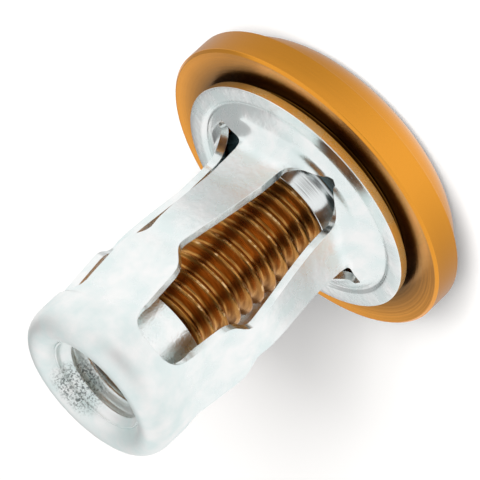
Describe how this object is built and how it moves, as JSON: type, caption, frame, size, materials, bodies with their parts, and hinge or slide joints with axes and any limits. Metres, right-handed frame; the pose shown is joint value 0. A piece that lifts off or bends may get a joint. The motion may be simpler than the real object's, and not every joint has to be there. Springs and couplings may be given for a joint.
{
  "type": "bolt with fender washer and jack nut",
  "caption": "Gold anodised bolt with a domed fender washer, screwed into a zinc plated slotted jack nut with a rolled end.",
  "frame": {"origin": "centre of the fender washer's front, at the bottom of the part", "axes": "+Z along the bolt, from the washer's front to the open end of the jack nut; +X and +Y through the nut's windows"},
  "size_m": [0.02, 0.02, 0.0222],
  "materials": {
    "gold_anodised_bolt": "bright gold anodised",
    "gold_anodised_washer": "bright gold anodised",
    "zinc_plated_ring": "bright zinc plated",
    "zinc_plated_nut": "bright zinc plated"
  },
  "bodies": {
    "washer": {"fender_washer": "gold_anodised_washer"},
    "screw": {"bolt": "gold_anodised_bolt", "retaining_ring": "zinc_plated_ring"},
    "nut": {"jack_nut": "zinc_plated_nut"}
  },
  "joints": [
    {"name": "bolt_turn", "type": "hinge", "parent": "washer", "child": "screw", "pos_m": [0, 0, 0], "axis": [0, 0, -1], "range_deg": [0, 972]},
    {"name": "nut_travel", "type": "slide", "parent": "washer", "child": "nut", "axis": [0, 0, 1], "range_m": [0, 0.0027]}
  ],
  "couplings": [
    {"joint": "bolt_turn", "follows": "nut_travel", "rad_per_m": 6283.2}
  ]
}
